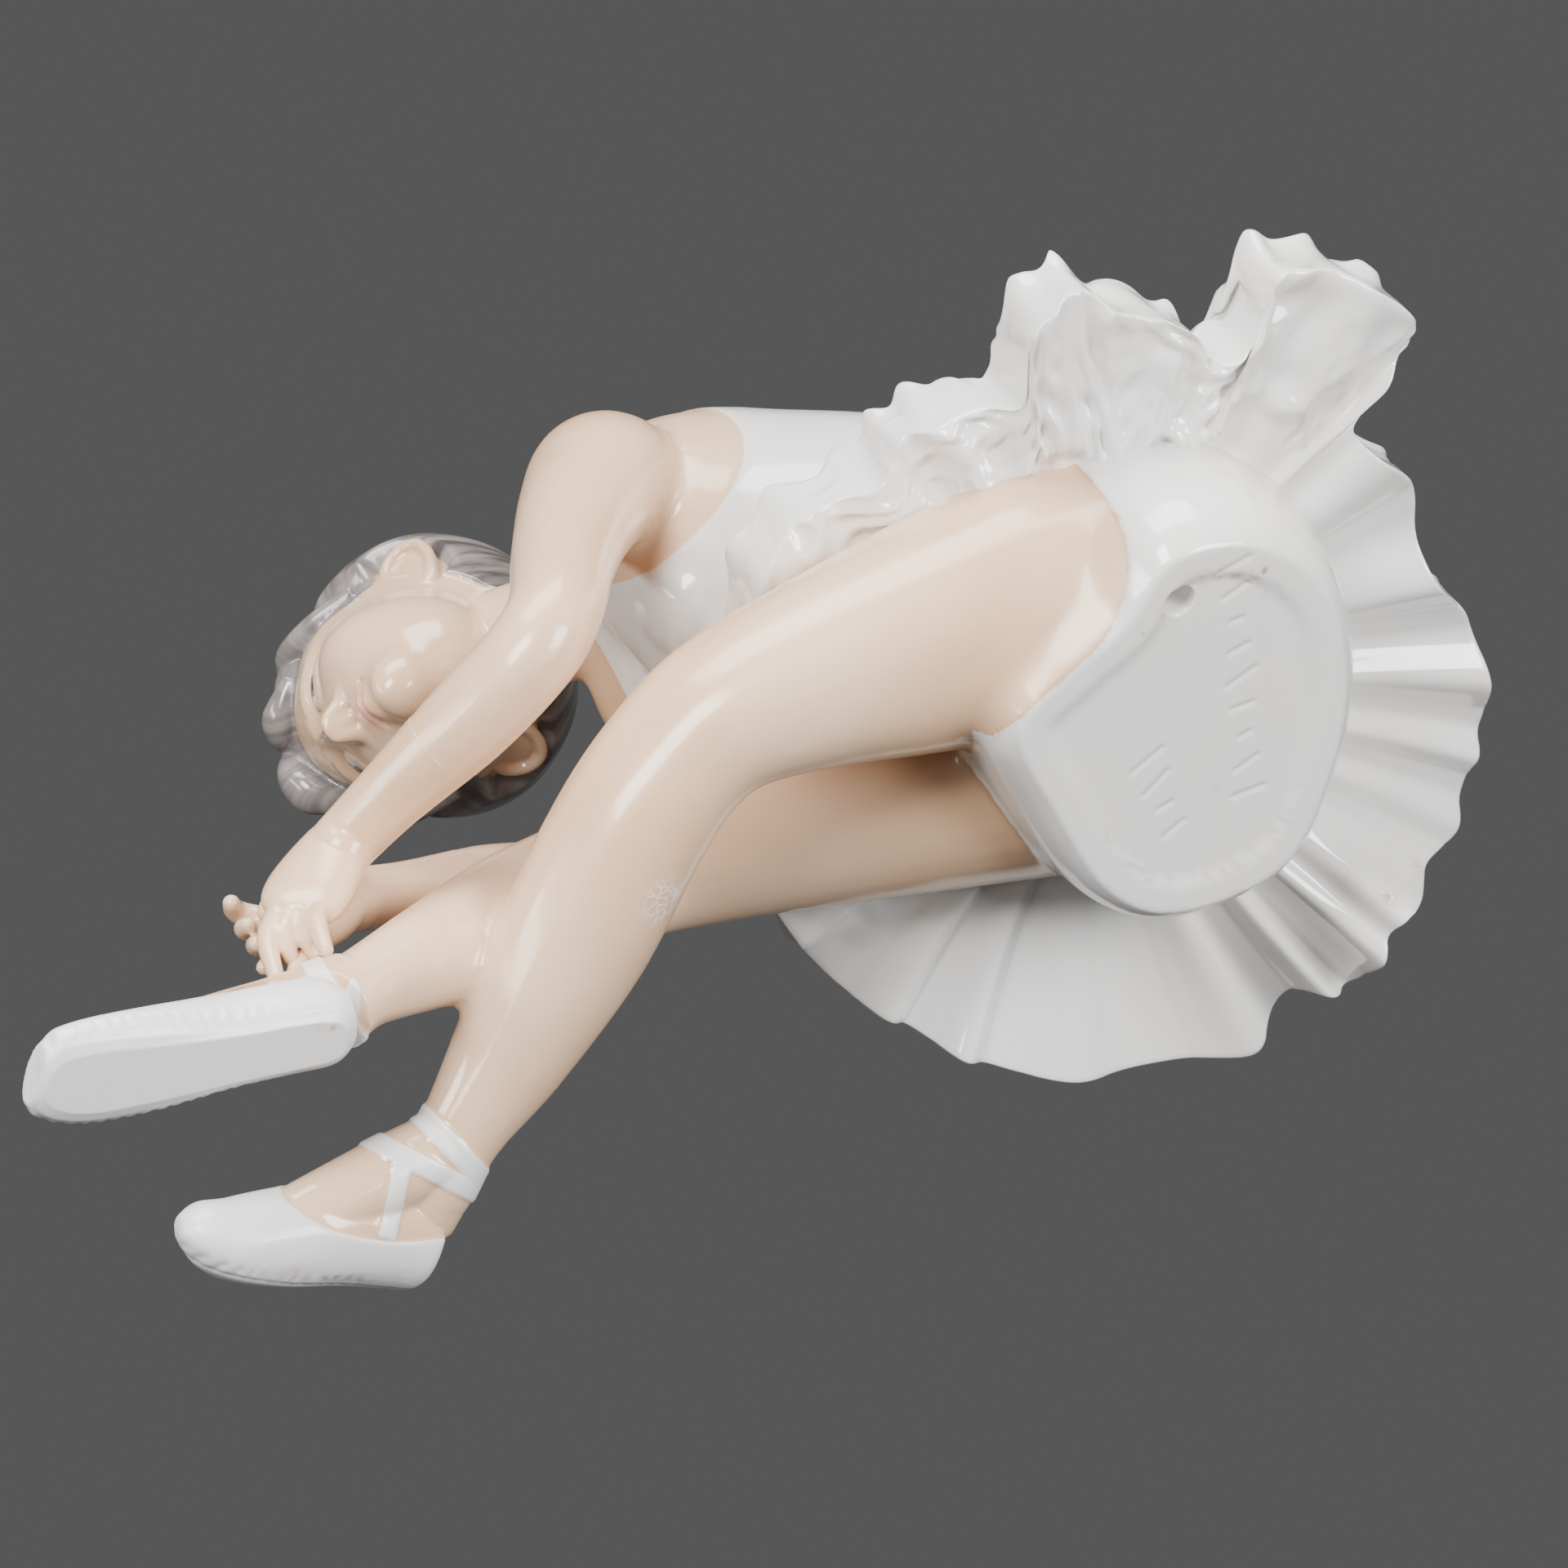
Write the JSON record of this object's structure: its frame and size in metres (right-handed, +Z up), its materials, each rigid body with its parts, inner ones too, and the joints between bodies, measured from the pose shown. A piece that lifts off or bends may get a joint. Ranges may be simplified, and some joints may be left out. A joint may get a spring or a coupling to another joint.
{
  "type": "ballerina figurine",
  "caption": "Glazed porcelain figurine of a seated ballerina in leotard and ruffled tutu, leaning forward to tie the ribbon of her shoe.",
  "frame": {"origin": "middle of the bounding box on the ground plane that the seat's underside and the shoes rest on", "axes": "+Z up, the dancer faces -Y, her left side is +X; the length from the toe to the back of the skirt runs along Y"},
  "size_m": [0.134, 0.2366, 0.1456],
  "materials": {
    "white_glaze": "glossy",
    "skin_glaze": "glossy",
    "hair_glaze": "glossy"
  },
  "bodies": {
    "root": {"ballerina": "white_glaze"}
  },
  "joints": []
}
